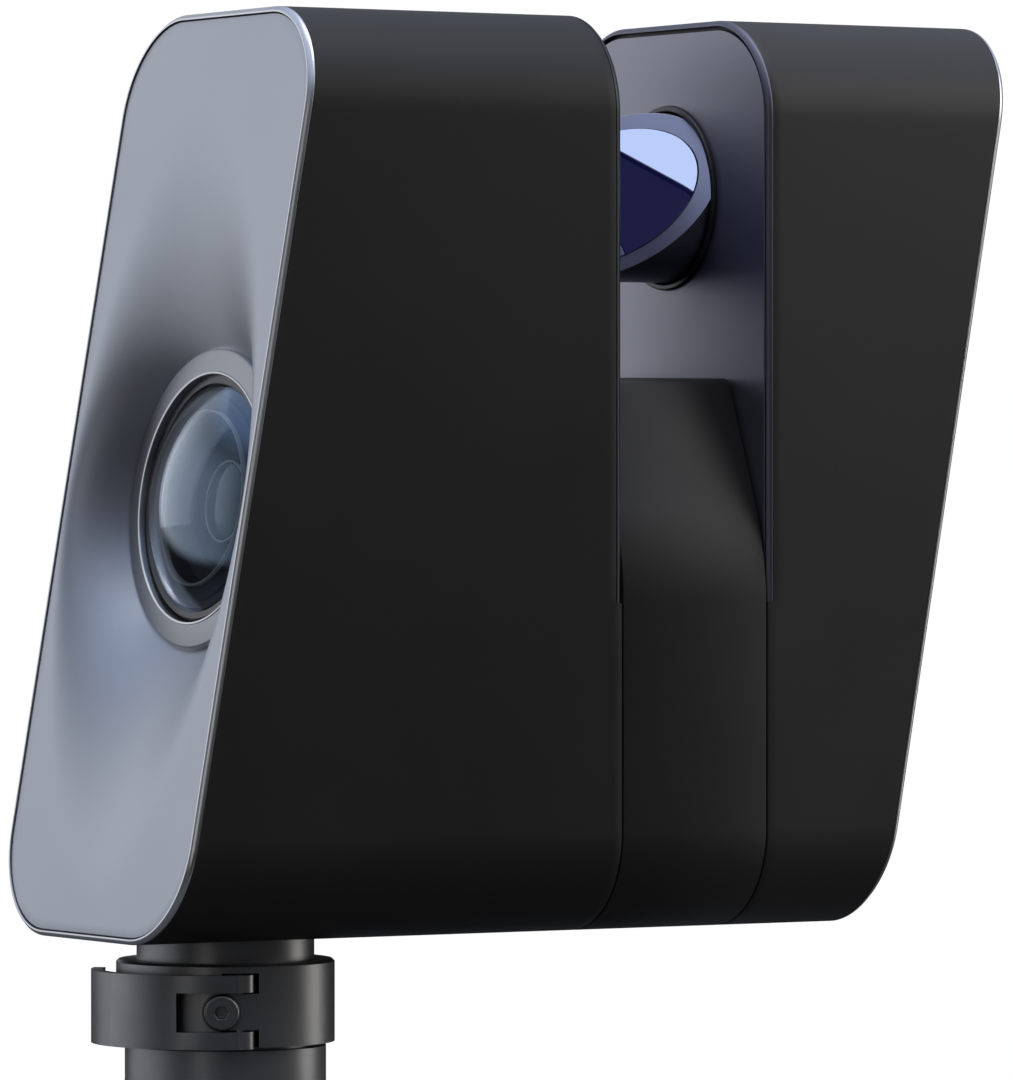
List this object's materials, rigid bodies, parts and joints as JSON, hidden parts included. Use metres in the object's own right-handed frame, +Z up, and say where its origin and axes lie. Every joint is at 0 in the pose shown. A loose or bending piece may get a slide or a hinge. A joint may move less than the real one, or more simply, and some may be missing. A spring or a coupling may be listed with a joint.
{
  "type": "terrestrial laser scanner",
  "caption": "Laser scanner with a leaning body, a recessed wide-angle lens, a gap with a spinning slanted mirror, and a neck locked into a tripod adapter by a lever.",
  "frame": {"origin": "centre of the tripod adapter's underside, on the vertical axis that the scanner pans about", "axes": "+Z up along the pan axis, -Y the way the lens faces, X across the body"},
  "size_m": [0.076, 0.1929, 0.231],
  "materials": {
    "black_housing": "satin",
    "silver_plate": "bead blasted, anodised",
    "bright_rim": "polished chamfer",
    "lens_bezel": "anodised, fine turned",
    "lens_glass": "multicoated",
    "window_glass": "dark tinted",
    "black_plastic": "fine grain",
    "black_anodised": "anodised",
    "mirror_coating": "polished",
    "steel": "turned",
    "brass": "cut",
    "frame_casting": "cast and machined",
    "circuit_board": "solder mask",
    "copper_winding": "enamelled",
    "sensor_die": "polished"
  },
  "bodies": {
    "adapter": {"tripod_adapter": "black_anodised", "thread_insert": "steel", "locking_collar": "black_anodised", "lever_pin": "steel", "swivel_neck": "black_anodised", "inner_race": "steel", "bearing_balls": "steel", "fixed_gear": "brass", "gear_nut": "steel"},
    "scanner": {"front_housing": "black_housing", "front_plate": "silver_plate", "end_trims": "bright_rim", "gap_trims": "bright_rim", "front_gap_plate": "silver_plate", "laser_window": "window_glass", "bridge_housing": "black_housing", "rear_housing": "black_housing", "rear_gap_plate": "silver_plate", "back_panel": "silver_plate", "lens_bezel": "lens_bezel", "lens_barrel": "black_anodised", "front_lens": "lens_glass", "spacer_ring": "black_anodised", "inner_lenses": "lens_glass", "image_sensor": "sensor_die", "camera_board": "circuit_board", "lens_bracket": "frame_casting", "outer_race": "steel", "base_plate": "frame_casting", "chassis_frame": "frame_casting", "bridge_beams": "frame_casting", "motor_bracket": "frame_casting", "pan_motor": "steel", "rangefinder": "black_anodised", "rangefinder_lens": "lens_glass", "mirror_collar": "black_anodised", "motor_housing": "frame_casting", "motor_stator": "copper_winding", "mirror_bearings": "steel", "encoder_board": "circuit_board", "battery_bay": "black_plastic", "battery_contacts": "brass", "display_window": "window_glass", "rear_board": "circuit_board", "charging_socket": "steel", "main_board": "circuit_board", "housing_screws": "steel"},
    "mirror": {"mirror_drum": "black_anodised", "scan_mirror": "mirror_coating", "mirror_spindle": "steel", "rotor_magnet": "steel", "encoder_disc": "lens_glass"},
    "pinion": {"pan_pinion": "steel"},
    "lever": {"locking_lever": "black_anodised"},
    "plunger": {"plunger_screw": "black_anodised"},
    "button": {"power_button": "black_plastic"},
    "battery": {"battery_pack": "black_plastic", "battery_cap": "black_plastic"},
    "latch": {"battery_latch": "black_plastic"}
  },
  "joints": [
    {"name": "pan", "type": "hinge", "parent": "adapter", "child": "scanner", "pos_m": [0, 0, 0.0605], "axis": [0, 0, 1], "continuous": true},
    {"name": "pinion_spin", "type": "hinge", "parent": "scanner", "child": "pinion", "pos_m": [0, 0.02165, 0.07], "axis": [0, 0, 1], "continuous": true},
    {"name": "mirror_spin", "type": "hinge", "parent": "scanner", "child": "mirror", "pos_m": [0, 0.1086, 0.196], "axis": [0, 1, 0], "continuous": true},
    {"name": "lever_swing", "type": "hinge", "parent": "adapter", "child": "lever", "pos_m": [0.01858, -0.00712, 0.03645], "axis": [0, 0, 1], "range_deg": [0, 85]},
    {"name": "plunger_travel", "type": "slide", "parent": "adapter", "child": "plunger", "axis": [0.859, -0.512, 0], "range_m": [0, 0.0008]},
    {"name": "button_press", "type": "slide", "parent": "scanner", "child": "button", "axis": [0, -0.9848, 0.1736], "range_m": [0, 0.0012], "stiffness_N_per_m": 800, "springref_m": -0.001},
    {"name": "battery_slide", "type": "slide", "parent": "scanner", "child": "battery", "axis": [0, 1, 0], "range_m": [0, 0.075]},
    {"name": "latch_slide", "type": "slide", "parent": "scanner", "child": "latch", "axis": [0, 0.1736, 0.9848], "range_m": [0, 0.002], "stiffness_N_per_m": 500, "springref_m": -0.001}
  ],
  "couplings": [
    {"joint": "pinion_spin", "follows": "pan", "ratio": 3},
    {"joint": "plunger_travel", "follows": "lever_swing", "m_per_rad": 0.00053872}
  ]
}
